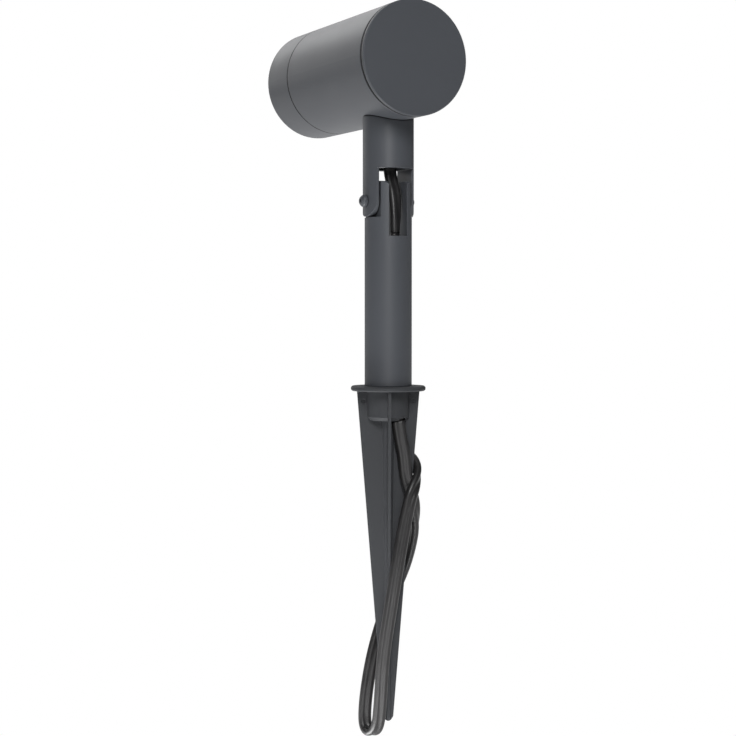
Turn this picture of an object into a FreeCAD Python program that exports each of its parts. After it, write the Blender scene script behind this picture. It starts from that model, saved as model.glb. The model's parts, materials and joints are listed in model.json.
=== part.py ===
import FreeCAD, Part
import Sketcher
import math
import os
from types import SimpleNamespace
from FreeCAD import Placement, Rotation, Vector

# Garden spike spotlight, in millimetres.
# Origin: centre of the flange's underside, where the lamp meets the ground.
# +Z runs up the stem, the light shines towards -Y, and the head tilts about X.

SIZES = {
    # housing of the head, a tube lying along Y
    "headRadius": 30.0,
    "headWall": 3.0,
    "bodyRear": 27.0,
    "bodyFront": 63.8,
    "threadLength": 12.2,
    "threadStep": 2.5,
    "noseWall": 1.9,
    "threadClearance": 0.2,
    "padTop": 20.0,
    "padHalfWidth": 13.0,
    "padFront": 34.0,
    # rear cover and front cowl
    "coverGap": 1.6,
    "coverThickness": 1.8,
    "coverPlugLength": 8.0,
    "coverPlugWall": 3.0,
    "seamGap": 0.8,
    "cowlLength": 27.7,
    "cowlLipStep": 4.5,
    "cowlLipThickness": 2.0,
    "cowlMouthWall": 2.8,
    "cowlTravel": 12.0,
    "edgeBreak": 0.4,
    "sealSection": 0.55,
    "sealSqueeze": 0.1,
    "glassThickness": 3.0,
    "glassClearance": 0.3,
    "gasketThickness": 2.0,
    # lamp and what holds it
    "lampFront": 75.2,
    "lampSpace": 5.0,
    "lampLength": 45.0,
    "lampBaseRadius": 7.5,
    "lampRingThickness": 2.7,
    "pinPitch": 5.3,
    "pinRadius": 0.75,
    "pinLength": 7.0,
    "holderWidth": 17.0,
    "holderHeight": 10.0,
    "holderDepth": 12.0,
    "bracketThickness": 1.5,
    "bracketWidth": 20.0,
    "bracketFoot": 12.0,
    "bracketRise": 2.2,
    "screwRadius": 1.5,
    "screwHeadRadius": 2.7,
    "screwHeadHeight": 1.8,
    "blockWidth": 16.0,
    "blockDepth": 10.0,
    "blockHeight": 11.0,
    "blockRear": 19.0,
    "wireRadius": 1.0,
    # neck between the head and the tilt pivot
    "neckRadius": 13.5,
    "neckBore": 9.5,
    "neckRise": 54.9,
    "webDrop": 36.5,
    "neckGap": 0.5,
    "earHalfWidth": 8.2,
    "earInner": 9.6,
    "crotchRise": 17.1,
    "nippleRadius": 5.0,
    "nippleBore": 4.0,
    "nippleTopDrop": 13.5,
    "nutHeight": 4.0,
    "nutRadius": 8.0,
    "washerThickness": 1.0,
    "bushGap": 1.5,
    "bushLength": 7.0,
    # tilt pivot
    "pivotHeight": 100.0,
    "pivotRadius": 1.8,
    "pivotClearance": 0.06,
    "frictionWasherThickness": 0.7,
    "frictionWasherRadius": 7.0,
    "leftHeadRadius": 3.2,
    "leftHeadHeight": 3.0,
    "rightHeadRadius": 2.4,
    "rightHeadHeight": 1.3,
    "socketRadius": 1.25,
    "socketDepth": 1.0,
    # stem
    "stemRadius": 12.5,
    "stemWall": 2.0,
    "earGap": 0.3,
    "flatsHalfWidth": 8.8,
    "knuckleRise": 10.3,
    "knuckleCorner": 5.0,
    "slotHalfWidth": 5.3,
    "slotDepth": 18.5,
    "runningGap": 0.1,
    # ground spike
    "spikeTurn": 24.0,
    "flangeRadius": 19.8,
    "flangeThickness": 2.6,
    "flangeEdge": 0.7,
    "spigotLength": 30.0,
    "spigotBore": 8.4,
    "cupRadius": 11.1,
    "cupBore": 9.8,
    "cupDepth": 13.9,
    "cupChamfer": 1.8,
    "cupFloor": 1.6,
    "ribHalfWidth": 16.6,
    "ribThickness": 1.5,
    "spikeLength": 176.0,
    "tipHalfWidth": 2.7,
    "coreRadius": 3.2,
    "coreTipRadius": 1.4,
    "outletRadius": 3.9,
    "outletX": -2.44,
    "outletY": 6.56,
    "markRadius": 1.2,
    "markDepth": 0.4,
    "markDistance": 13.3,
    "markHeight": -5.5,
    # cable
    "cableRadius": 2.5,
    "cableWidth": 7.6,
    "cableClearance": 0.1,
    "clipRadius": 5.5,
    "clipHeight": 3.4,
    "sheathDrop": 8.0,
    "bendTop": 18.0,
    "coreWireRadius": 1.1,
    "coreEndLength": 16.0,
    "ferruleRadius": 0.8,
    "ferruleLength": 8.0,
}

# Route of the free cable from the cup's outlet, round the ribs, under the tip and up again.
FREE_ROUTE = [
    (-2.44, 6.56, -15.7), (-3.0, 6.5, -23.0), (-6.4, 7.6, -34.0), (-9.0, 9.0, -46.0),
    (-11.8, 8.8, -58.5), (-14.2, 5.0, -71.0), (-14.0, 0.0, -84.0), (-11.5, -5.0, -97.0),
    (-7.0, -9.2, -110.0), (-1.6, -10.7, -125.0), (5.0, -9.6, -144.0), (9.5, -9.0, -164.5),
    (10.5, -8.5, -178.8), (9.5, -2.5, -182.3), (8.0, 3.5, -178.8), (7.4, 5.4, -165.5),
    (7.4, 8.0, -141.0), (4.6, 10.9, -116.0), (0.9, 12.6, -91.0), (-3.6, 13.5, -69.0),
    (-8.2, 15.0, -53.5), (-13.0, 13.6, -44.5), (-16.1, 7.0, -38.5), (-15.4, -0.8, -34.5),
    (-12.0, -8.4, -33.0), (-8.4, -15.4, -35.5), (-5.3, -17.6, -44.5), (-3.1, -16.7, -55.0),
    (-1.9, -14.8, -66.0),
]
# Cable inside the clevis and the stem, in heights above the tilt axis, and inside the spike.
CLEVIS_ROUTE = [(0.0, 0.0, 13.0), (0.0, 6.2, 1.0), (0.0, 6.2, -17.0)]
STEM_ROUTE = [(0.0, 6.2, -17.0), (0.0, 6.2, -28.0), (0.0, 0.0, -48.0)]
SPIKE_ROUTE = [(0.0, 0.0, 12.0), (-2.44, 6.56, -4.0), (-2.44, 6.56, -15.7)]

UP = Rotation()
FORWARD = Rotation(Vector(1, 0, 0), 90)    # local +Z points along -Y, the way of the light
SIDEWAYS = Rotation(Vector(0, 1, 0), 90)   # local +Z points along +X, the tilt axis


class Size:
    """A length as a number, with the text that works it out from the sheet."""

    def __init__(self, value, text=None):
        self.value = float(value)
        self.text = text or repr(float(value))

    def __add__(self, other):
        other = size_of(other)
        return Size(self.value + other.value, "(%s + %s)" % (self.text, other.text))

    def __sub__(self, other):
        other = size_of(other)
        return Size(self.value - other.value, "(%s - %s)" % (self.text, other.text))

    def __mul__(self, other):
        other = size_of(other)
        return Size(self.value * other.value, "(%s * %s)" % (self.text, other.text))

    def __truediv__(self, other):
        other = size_of(other)
        return Size(self.value / other.value, "(%s / %s)" % (self.text, other.text))

    def __neg__(self):
        return Size(-self.value, "(0 - %s)" % self.text)

    __radd__ = __add__

    def __rsub__(self, other):
        return size_of(other) - self


def size_of(value):
    return value if isinstance(value, Size) else Size(value)


def make_sheet(table):
    """Put the driving sizes in a sheet and give back one Size for each alias."""
    sheet = doc.addObject("Spreadsheet::Sheet", "sizes")
    named = {}
    for row, (alias, value) in enumerate(table.items(), start=1):
        sheet.set("A%d" % row, alias)
        sheet.set("B%d" % row, repr(value))
        sheet.setAlias("B%d" % row, alias)
        named[alias] = Size(value, "sizes." + alias)
    doc.recompute()
    return SimpleNamespace(**named)


def bind(obj, **fields):
    for field, value in fields.items():
        obj.setExpression(field, size_of(value).text)


def place(obj, at, turn=UP):
    obj.Placement = Placement(Vector(*(size_of(part).value for part in at)), turn)
    for axis, part in zip("xyz", at):
        if isinstance(part, Size):
            obj.setExpression(".Placement.Base." + axis, part.text)
    return obj


def rod(name, radius, length, at=(0, 0, 0), turn=UP):
    cylinder = doc.addObject("Part::Cylinder", name)
    bind(cylinder, Radius=radius, Height=length)
    return place(cylinder, at, turn)


def block(name, length, width, height, at):
    box = doc.addObject("Part::Box", name)
    bind(box, Length=length, Width=width, Height=height)
    return place(box, at)


def ring(name, mid_radius, section_radius, at, turn):
    torus = doc.addObject("Part::Torus", name)
    bind(torus, Radius1=mid_radius, Radius2=section_radius)
    return place(torus, at, turn)


def ball(name, radius, at):
    sphere = doc.addObject("Part::Sphere", name)
    bind(sphere, Radius=radius)
    return place(sphere, at)


def fuse(name, *shapes):
    union = doc.addObject("Part::MultiFuse", name)
    union.Shapes = list(shapes)
    return union


def common(name, *shapes):
    overlap = doc.addObject("Part::MultiCommon", name)
    overlap.Shapes = list(shapes)
    return overlap


def cut(name, base, *tools):
    result = doc.addObject("Part::Cut", name)
    result.Base = base
    result.Tool = tools[0] if len(tools) == 1 else fuse(name + "_tools", *tools)
    return result


def group(name, *shapes):
    """Separate solids that share one node."""
    compound = doc.addObject("Part::Compound", name)
    compound.Links = list(shapes)
    return compound


def outline_sketch(body, plane_role, name, corners):
    """A closed outline of straight edges, each corner tied to the sheet."""
    plane = next(f for f in body.Origin.OriginFeatures if f.Role == plane_role)
    sketch = body.newObject("Sketcher::SketchObject", name)
    sketch.AttachmentSupport = [(plane, "")]
    sketch.MapMode = "FlatFace"
    corners = [(size_of(across), size_of(along)) for across, along in corners]
    points = [Vector(across.value, along.value, 0) for across, along in corners]
    for start, end in zip(points, points[1:] + points[:1]):
        sketch.addGeometry(Part.LineSegment(start, end), False)
    for index in range(len(points)):
        following = (index + 1) % len(points)
        sketch.addConstraint(Sketcher.Constraint("Coincident", index, 2, following, 1))
    for index, corner in enumerate(corners):
        tie_corner(sketch, index, "DistanceX", corner[0], -2)
        tie_corner(sketch, index, "DistanceY", corner[1], -1)
    return sketch


def tie_corner(sketch, index, kind, distance, axis_line):
    """Hold a corner at its distance from the sketch's origin, on either side of it."""
    if distance.value == 0:
        sketch.addConstraint(Sketcher.Constraint("PointOnObject", index, 1, axis_line))
        return
    if distance.value > 0:
        tie = Sketcher.Constraint(kind, -1, 1, index, 1, distance.value)
        text = distance.text
    else:
        tie = Sketcher.Constraint(kind, index, 1, -1, 1, -distance.value)
        text = (-distance).text
    number = sketch.addConstraint(tie)
    if "sizes." in text:
        sketch.setExpression("Constraints[%d]" % number, text)


def spin(body, kind, name, corners):
    """Turn a half section, given as (radius, height) corners, round the body's own Z."""
    sketch = outline_sketch(body, "XZ_Plane", name + "_section", corners)
    feature = body.newObject(kind, name)
    feature.Profile = sketch
    feature.ReferenceAxis = (sketch, ["V_Axis"])
    feature.Angle = 360
    return feature


def turned(name, corners, at=(0, 0, 0), turn=UP):
    body = doc.addObject("PartDesign::Body", name)
    spin(body, "PartDesign::Revolution", name + "_turned", corners)
    return place(body, at, turn)


def hexagon(name, corner_radius, height, at, turn=UP):
    prism = doc.addObject("Part::Prism", name)
    prism.Polygon = 6
    bind(prism, Circumradius=corner_radius, Height=height)
    return place(prism, at, turn)


def rounded_path(points, share=0.45):
    """Straight runs joined by tangent arcs, each as large as its two runs allow."""
    points = [Vector(*point) for point in points]
    edges, radii, length = [], [], 0.0
    start = points[0]
    for before, corner, after in zip(points, points[1:], points[2:]):
        back = (before - corner).normalize()
        ahead = (after - corner).normalize()
        half_turn = (math.pi - back.getAngle(ahead)) / 2
        reach = share * min((before - corner).Length, (after - corner).Length)
        radius = reach / math.tan(half_turn)
        first, last = corner + back * reach, corner + ahead * reach
        inward = (back + ahead).normalize()
        middle = corner + inward * (radius / math.cos(half_turn) - radius)
        edges.append(Part.LineSegment(start, first).toShape())
        edges.append(Part.Arc(first, middle, last).toShape())
        radii.append(radius)
        length += (first - start).Length + 2 * half_turn * radius
        start = last
    edges.append(Part.LineSegment(start, points[-1]).toShape())
    length += (points[-1] - start).Length
    return Part.Wire(edges), radii, length


def tube_shape(points, radius, share=0.45):
    path, radii, length = rounded_path(points, share)
    direction = Vector(*points[1]) - Vector(*points[0])
    circle = Part.Wire([Part.makeCircle(radius, Vector(*points[0]), direction)])
    solid = path.makePipeShell([circle], True, False)
    expected = math.pi * radius * radius * length
    return solid, radii, length, solid.Volume / expected


def tube(name, points, radius):
    """A round cable along its route; its volume is compared with section times length."""
    solid, radii, length, match = tube_shape(points, radius.value)
    feature = doc.addObject("Part::Feature", name)
    feature.Shape = solid
    print("%s: %.1f long, volume match %.4f, radii %s"
          % (name, length, match, " ".join("%.0f" % r for r in radii)))
    return feature


doc = FreeCAD.newDocument("garden_spotlight")
s = make_sheet(SIZES)

# Heights and places that several pieces share.
crotchHeight = s.pivotHeight + s.crotchRise
headHeight = crotchHeight + s.neckRise
webBottom = headHeight - s.webDrop
nippleTop = headHeight - s.nippleTopDrop
sheathTop = headHeight - s.sheathDrop
bushBottom = webBottom - s.bushGap - s.bushLength
bendTop = s.pivotHeight + s.bendTop
flatsBottom = s.pivotHeight - s.earHalfWidth - s.earGap
slotBottom = s.pivotHeight - s.slotDepth
spigotTop = s.flangeThickness + s.spigotLength
headBore = s.headRadius - s.headWall
threadRadius = s.headRadius - s.threadStep
threadBore = threadRadius - s.noseWall
cowlLipBore = s.headRadius - s.cowlLipStep
cowlMouthRadius = s.headRadius - s.cowlMouthWall
lampRadius = s.headRadius - s.lampSpace
padHeight = headHeight - s.padTop
threadFront = s.bodyFront + s.threadLength
glassBack = threadFront + s.gasketThickness
glassFront = glassBack + s.glassThickness
cowlBore = threadRadius + s.threadClearance
cowlBack = s.bodyFront + s.seamGap
cowlFront = s.bodyFront + s.cowlLength
coverInside = -(s.bodyRear + s.coverGap)
lampBack = s.lampFront - s.lampLength
holderFront = lampBack - 0.2
holderBack = holderFront - s.holderDepth
headCentre = (0, 0, headHeight)
plugRadius = headBore - 0.05
plugEnd = coverInside + s.coverPlugLength
spigotRadius = s.stemRadius - s.stemWall - s.runningGap
cowlGroove = s.bodyFront + 1.0
coverGroove = coverInside + 3.0
spigotGroove = s.flangeThickness + 17.4


def seal_groove(radius, start):
    """Corners of a groove for a seal in a round face, in the order they are met."""
    floor = radius - s.sealSection * 2 - s.sealSqueeze
    end = start + s.sealSection * 2 + 0.5
    return [(radius, start), (floor, start), (floor, end), (radius, end)]


def seal(name, radius, start, along_head=True):
    """Round ring that lies in such a groove."""
    middle = start + s.sealSection + 0.25
    at = (0, -middle, headHeight) if along_head else (0, 0, middle)
    return ring(name, radius - s.sealSection - s.sealSqueeze, s.sealSection, at,
                FORWARD if along_head else UP)


def head_body():
    """Round housing with a threaded nose and a flat pad inside for nut, bracket and block."""
    shell = turned("housing_tube", [
        (headBore, -s.bodyRear),
        (s.headRadius - s.edgeBreak, -s.bodyRear),
        (s.headRadius, -s.bodyRear + s.edgeBreak),
        (s.headRadius, s.bodyFront),
        (threadRadius, s.bodyFront),
        *seal_groove(threadRadius, cowlGroove),
        (threadRadius, threadFront),
        (threadBore, threadFront),
        (threadBore, s.bodyFront - 4.0),
        (headBore, s.bodyFront - 4.0),
    ], headCentre, FORWARD)
    pad_length = s.padFront - plugEnd - 1.0
    pad_box = block("pad_box", s.padHalfWidth * 2, pad_length, s.padTop / 2,
                    (-s.padHalfWidth, -s.padFront, padHeight - s.padTop / 2))
    pad_limit = rod("pad_limit", headBore + s.headWall / 2, s.bodyRear + s.bodyFront,
                    (0, s.bodyRear, headHeight), FORWARD)
    pad = common("pad", pad_box, pad_limit)
    hole = rod("housing_hole", s.nippleRadius + s.cableClearance, s.headRadius,
               (0, 0, headHeight - s.headRadius - 2.0))
    foot_holes = [
        rod("foot_hole_%d" % number, s.screwRadius, 6.0,
            (bracketScrewX * side, bracketScrewY, padHeight - 5.0))
        for number, side in enumerate((-1, 1), start=1)
    ]
    return cut("head_body", fuse("housing_blank", shell, pad), hole, *foot_holes)


def rear_cover():
    plug_bore = plugRadius - s.coverPlugWall
    return turned("rear_cover", [
        (0, coverInside - s.coverThickness),
        (s.headRadius - s.edgeBreak, coverInside - s.coverThickness),
        (s.headRadius, coverInside - s.coverThickness + s.edgeBreak),
        (s.headRadius, coverInside),
        (plugRadius, coverInside),
        *seal_groove(plugRadius, coverGroove),
        (plugRadius, plugEnd),
        (plug_bore, plugEnd),
        (plug_bore, coverInside),
        (0, coverInside),
    ], headCentre, FORWARD)


def front_cowl():
    return turned("front_cowl", [
        (cowlBore, cowlBack),
        (s.headRadius - s.edgeBreak / 2, cowlBack),
        (s.headRadius, cowlBack + s.edgeBreak / 2),
        (s.headRadius, cowlFront - s.edgeBreak),
        (s.headRadius - s.edgeBreak, cowlFront),
        (cowlMouthRadius, cowlFront),
        (cowlMouthRadius, glassFront + s.cowlLipThickness),
        (cowlLipBore, glassFront + s.cowlLipThickness),
        (cowlLipBore, glassFront),
        (cowlBore, glassFront),
    ], headCentre, FORWARD)


def from_pivot(route):
    return [(across, along, s.pivotHeight.value + up) for across, along, up in route]


def stem_cable_end():
    """Where the cable leaves the stem's bore for the spigot's."""
    return (0.0, 0.0, spigotTop.value + 1.4)


def disc(name, radius, back, thickness):
    return rod(name, radius, thickness, (0, -back, headHeight), FORWARD)


def washer_shape(name, outer, inner, thickness, at, turn=UP):
    return cut(name, rod(name + "_outer", outer, thickness, at, turn),
               rod(name + "_inner", inner, thickness, at, turn))


def glass_gasket():
    return washer_shape("glass_gasket", cowlBore - s.glassClearance, threadBore + 0.2,
                        s.gasketThickness, (0, -threadFront, headHeight), FORWARD)


def lamp_ring():
    return washer_shape("lamp_ring", lampRadius, lampRadius - 1.8,
                        s.lampRingThickness, (0, -s.lampFront, headHeight), FORWARD)


def lamp_body():
    """Reflector lamp: small base, bell and rim."""
    rim = lampRadius
    return turned("lamp_body", [
        (0, lampBack),
        (s.lampBaseRadius, lampBack),
        (s.lampBaseRadius, lampBack + 11.0),
        (rim * 0.42, lampBack + 14.0),
        (rim * 0.68, lampBack + 22.0),
        (rim * 0.87, lampBack + 33.0),
        (rim * 0.96, s.lampFront - 4.0),
        (rim, s.lampFront - 3.0),
        (rim, s.lampFront),
        (rim - 1.5, s.lampFront),
        (rim - 1.5, s.lampFront - 1.5),
        (0, s.lampFront - 1.5),
    ], headCentre, FORWARD)


def lamp_pins():
    return group("lamp_pins", *[
        rod("lamp_pin_%d" % number, s.pinRadius, s.pinLength,
            (s.pinPitch * (side / 2), -(lampBack - s.pinLength), headHeight), FORWARD)
        for number, side in enumerate((-1, 1), start=1)
    ])


bracketScrewX = s.bracketWidth / 2 - s.screwHeadRadius - 1.3
bracketScrewY = -holderBack - s.bracketFoot / 2


def holder_screw_places():
    return [(s.holderWidth * (0.38 * side), -(holderBack - s.bracketThickness), headHeight)
            for side in (-1, 1)]


def lampholder():
    body = block("holder_block", s.holderWidth, s.holderDepth, s.holderHeight,
                 (s.holderWidth * -0.5, -holderFront, headHeight - s.holderHeight / 2))
    sockets = [
        rod("socket_%d" % number, s.pinRadius + 0.15, s.pinLength + 1.0,
            (s.pinPitch * (side / 2), -(holderFront - s.pinLength - 1.0), headHeight), FORWARD)
        for number, side in enumerate((-1, 1), start=1)
    ]
    threads = [rod("holder_thread_%d" % number, 1.25, 7.5, place_of, FORWARD)
               for number, place_of in enumerate(holder_screw_places(), start=1)]
    return cut("lampholder", body, *(sockets + threads))


def lampholder_bracket():
    """Folded strip: a foot on the pad and an upright behind the lampholder."""
    half = s.bracketWidth / 2
    upright = block("bracket_upright", s.bracketWidth, s.bracketThickness,
                    s.padTop + s.bracketRise,
                    (-half, -holderBack, padHeight))
    foot = block("bracket_foot", s.bracketWidth, s.bracketFoot, s.bracketThickness,
                 (-half, -holderBack - s.bracketFoot, padHeight))
    holes = [rod("bracket_hole_%d" % number, 1.3, s.bracketThickness, place_of, FORWARD)
             for number, place_of in enumerate(holder_screw_places(), start=1)]
    foot_holes = [
        rod("bracket_foot_hole_%d" % number, s.screwRadius + 0.1, 4.0,
            (bracketScrewX * side, bracketScrewY, padHeight - 1.0))
        for number, side in enumerate((-1, 1), start=1)
    ]
    return cut("lampholder_bracket", fuse("bracket_blank", upright, foot), *(holes + foot_holes))


def holder_screws():
    screws = []
    for number, (across, along, up) in enumerate(holder_screw_places(), start=1):
        shank = rod("holder_shank_%d" % number, 1.2, 7.0, (across, along, up), FORWARD)
        head = rod("holder_screw_head_%d" % number, 2.2, 1.4, (across, along + 1.4, up), FORWARD)
        screws.append(fuse("holder_screw_%d" % number, shank, head))
    return group("holder_screws", *screws)


def bracket_screws():
    screws = []
    for number, side in enumerate((-1, 1), start=1):
        across = bracketScrewX * side
        shank = rod("foot_shank_%d" % number, s.screwRadius - 0.05, 5.5,
                    (across, bracketScrewY, padHeight + s.bracketThickness - 5.5))
        head = rod("foot_screw_head_%d" % number, s.screwHeadRadius, s.screwHeadHeight,
                   (across, bracketScrewY, padHeight + s.bracketThickness))
        screws.append(fuse("foot_screw_%d" % number, shank, head))
    return group("bracket_screws", *screws)


def terminal_block():
    base = block("block_base", s.blockWidth, s.blockDepth, s.blockHeight,
                 (s.blockWidth * -0.5, s.blockRear - s.blockDepth, padHeight))
    notch = block("block_notch", 1.2, s.blockDepth, 3.0,
                  (-0.6, s.blockRear - s.blockDepth, padHeight + s.blockHeight - 3.0))
    threads = [rod("block_thread_%d" % number, 1.3, 4.0, place_of, FORWARD)
               for number, place_of in enumerate(terminal_screw_places(), start=1)]
    return cut("terminal_block", base, notch, *threads)


def terminal_screw_places():
    """Centres of the four clamp screws, on the block's rear face, two over two."""
    return [(s.blockWidth * (0.25 * side), s.blockRear, padHeight + height)
            for side in (-1, 1) for height in (s.blockHeight * 0.3, s.blockHeight * 0.7)]


def terminal_screws():
    screws = []
    for number, (across, along, up) in enumerate(terminal_screw_places(), start=1):
        shank = rod("clamp_shank_%d" % number, 1.2, 3.5, (across, along, up), FORWARD)
        head = rod("clamp_head_%d" % number, 1.7, 0.8, (across, along + 0.8, up), FORWARD)
        screws.append(fuse("clamp_screw_%d" % number, shank, head))
    return group("terminal_screws", *screws)


def supply_core(name, side):
    """One core of the cable, from the cut sheath up and back down into the block."""
    start_x, block_x = 1.2 * side, s.blockWidth.value * 0.25 * side
    sheath, top = sheathTop.value, headHeight.value
    block_y = s.blockRear.value - 7.0
    block_top = padHeight.value + s.blockHeight.value
    return tube(name, [(start_x, 0, sheath), (start_x, 0, top), (block_x, block_y, top),
                       (block_x, block_y, block_top)], s.wireRadius)


def lampholder_leads():
    leads = []
    block_top = padHeight.value + s.blockHeight.value
    level = headHeight.value + 3.4
    rear, front = s.blockRear.value - 2.0, -holderBack.value
    for number, side in enumerate((-1, 1), start=1):
        block_x = s.blockWidth.value * 0.25 * side
        leads.append(tube("lampholder_lead_%d" % number,
                          [(block_x, rear, block_top), (block_x, rear, level),
                           (3.0 * side, front, level)], s.wireRadius))
    return group("lampholder_leads", *leads)


def neck_fork():
    """Neck tube under the head with two flat-sided ears round the pivot."""
    ear_bottom = s.pivotHeight - s.earHalfWidth
    ear_height = crotchHeight - ear_bottom
    ear_tube = rod("ear_tube", s.neckRadius, ear_height, (0, 0, ear_bottom))
    ear_round = rod("ear_round", s.earHalfWidth, s.neckRadius * 2,
                    (-s.neckRadius, 0, s.pivotHeight), SIDEWAYS)
    ear_strip = block("ear_strip", s.neckRadius * 2, s.earHalfWidth * 2,
                      crotchHeight - s.pivotHeight,
                      (-s.neckRadius, -s.earHalfWidth, s.pivotHeight))
    ears = common("ears", ear_tube, fuse("ear_outline", ear_round, ear_strip))
    window = block("fork_window", s.earInner * 2, s.neckRadius * 2, ear_height,
                   (-s.earInner, -s.neckRadius, ear_bottom))
    neck = rod("neck_tube", s.neckRadius, headHeight - s.headRadius + 5.0 - crotchHeight,
               (0, 0, crotchHeight))
    saddle = rod("neck_saddle", s.headRadius + s.neckGap, s.neckRadius * 4,
                 (0, s.neckRadius * 2, headHeight), FORWARD)
    bore = rod("neck_bore", s.neckBore, webBottom - crotchHeight, (0, 0, crotchHeight))
    nipple_hole = rod("neck_nipple_hole", s.nippleRadius + 0.05, s.headRadius,
                      (0, 0, webBottom - 1.0))
    pivot_hole = rod("ear_pivot_hole", s.pivotRadius + s.pivotClearance, s.neckRadius * 2,
                     (-s.neckRadius, 0, s.pivotHeight), SIDEWAYS)
    blank = fuse("neck_blank", cut("ear_pair", ears, window), neck)
    return cut("neck_fork", blank, saddle, bore, nipple_hole, pivot_hole)


def neck_gasket():
    """Thin dark saddle gasket that fills the line between neck and head."""
    ring_outer = rod("gasket_outer", s.neckRadius - 0.6, s.headRadius,
                     (0, 0, headHeight - s.headRadius - 2.0))
    ring_inner = rod("gasket_inner", s.nippleRadius + 1.0, s.headRadius,
                     (0, 0, headHeight - s.headRadius - 2.0))
    skin = washer_shape("gasket_skin", s.headRadius + s.neckGap, s.headRadius,
                        s.neckRadius * 4, (0, s.neckRadius * 2, headHeight), FORWARD)
    lower = common("gasket_saddle", skin, ring_outer)
    keep = block("gasket_lower_half", s.headRadius * 2, s.headRadius * 2, s.headRadius,
                 (-s.headRadius, -s.headRadius, headHeight - s.headRadius - 2.0))
    return cut("neck_gasket", common("gasket_part", lower, keep), ring_inner)


def nipple():
    return washer_shape("threaded_nipple", s.nippleRadius, s.nippleBore,
                        nippleTop - webBottom, (0, 0, webBottom))


def nipple_nut():
    return cut("nipple_nut",
               hexagon("nut_blank", s.nutRadius, s.nutHeight, (0, 0, padHeight + s.washerThickness)),
               rod("nut_hole", s.nippleRadius + 0.05, s.nutHeight,
                   (0, 0, padHeight + s.washerThickness)))


def nipple_washer():
    return washer_shape("lock_washer", s.nutRadius + 0.6, s.nippleRadius + 0.1,
                        s.washerThickness, (0, 0, padHeight))


def cable_grip(name, outer, clearance, height, bottom):
    """Round piece with a flat hole that fits round the flat cable."""
    end_radius = s.cableRadius + clearance
    reach = s.cableWidth / 2 - s.cableRadius
    hole = [block(name + "_hole_middle", reach * 2, end_radius * 2, height, (-reach, -end_radius, bottom))]
    for number, side in enumerate((-1, 1), start=1):
        hole.append(rod("%s_hole_end_%d" % (name, number), end_radius, height, (reach * side, 0, bottom)))
    return cut(name, rod(name + "_outer", outer, height, (0, 0, bottom)), *hole)


def cable_bush():
    return cable_grip("cable_bush", s.neckBore - 0.05, s.cableClearance, s.bushLength, bushBottom)


def strain_clip():
    return cable_grip("strain_relief_clip", s.clipRadius, 0.05, s.clipHeight, nippleTop)


def stem_tube():
    """Tube with a solid flat-sided knuckle on top, its corners rounded, slotted for the cable."""
    bottom = s.flangeThickness + s.runningGap
    outside = rod("stem_outside", s.stemRadius, s.pivotHeight - bottom, (0, 0, bottom))
    corner = s.knuckleCorner
    flat_half = s.stemRadius - corner
    corner_height = s.pivotHeight + s.knuckleRise - corner
    crown_parts = [
        block("crown_middle", s.stemRadius * 2, flat_half * 2, s.knuckleRise,
              (-s.stemRadius, -flat_half, s.pivotHeight)),
        block("crown_lower", s.stemRadius * 2, s.stemRadius * 2, s.knuckleRise - corner,
              (-s.stemRadius, -s.stemRadius, s.pivotHeight)),
    ]
    for number, side in enumerate((-1, 1), start=1):
        crown_parts.append(rod("crown_corner_%d" % number, corner, s.stemRadius * 2,
                               (-s.stemRadius, flat_half * side, corner_height), SIDEWAYS))
    crown = common("knuckle_crown",
                   rod("crown_tube", s.stemRadius, s.knuckleRise, (0, 0, s.pivotHeight)),
                   fuse("crown_outline", *crown_parts))
    bore = rod("stem_bore", s.stemRadius - s.stemWall, slotBottom - bottom, (0, 0, bottom))
    slot = block("cable_slot", s.slotHalfWidth * 2, s.stemRadius * 4, crotchHeight,
                 (-s.slotHalfWidth, s.stemRadius * -2, slotBottom))
    flat_height = s.pivotHeight + s.knuckleRise - flatsBottom + 1.0
    flats = [
        block("flat_left", s.stemRadius, s.stemRadius * 4, flat_height,
              (s.flatsHalfWidth, s.stemRadius * -2, flatsBottom)),
        block("flat_right", s.stemRadius, s.stemRadius * 4, flat_height,
              (-s.flatsHalfWidth - s.stemRadius, s.stemRadius * -2, flatsBottom)),
    ]
    thread = rod("knuckle_thread", s.pivotRadius + 0.03, s.neckRadius * 2,
                 (-s.neckRadius, 0, s.pivotHeight), SIDEWAYS)
    blank = fuse("stem_blank", outside, crown)
    return cut("stem_tube", blank, bore, slot, thread, *flats)


def pivot_screw(name, side, head_radius, head_height):
    """Shouldered screw through one ear into the knuckle's cheek, with a domed head outside."""
    inner = s.slotHalfWidth + 0.6
    outer = s.neckRadius + 0.1
    start = inner if side > 0 else -(outer + 0.5)
    shank = rod(name + "_shank", s.pivotRadius, outer + 0.5 - inner, (start, 0, s.pivotHeight),
                SIDEWAYS)
    base = outer if side > 0 else -(outer + head_height)
    column = rod(name + "_column", head_radius, head_height, (base, 0, s.pivotHeight), SIDEWAYS)
    dome_radius = (head_radius * head_radius + head_height * head_height) / (head_height * 2)
    centre = (outer + head_height - dome_radius) * side
    dome = ball(name + "_dome", dome_radius + 0.35, (centre, 0, s.pivotHeight))
    socket = hexagon(name + "_socket", s.socketRadius, s.socketDepth * 2,
                     ((outer + head_height) * side - s.socketDepth, 0, s.pivotHeight), SIDEWAYS)
    return cut(name, fuse(name + "_blank", shank, common(name + "_head", column, dome)), socket)


def friction_washer(name, side):
    start = s.flatsHalfWidth if side > 0 else -(s.flatsHalfWidth + s.frictionWasherThickness)
    return washer_shape(name, s.frictionWasherRadius, s.pivotRadius + 0.1,
                        s.frictionWasherThickness, (start, 0, s.pivotHeight), SIDEWAYS)


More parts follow.
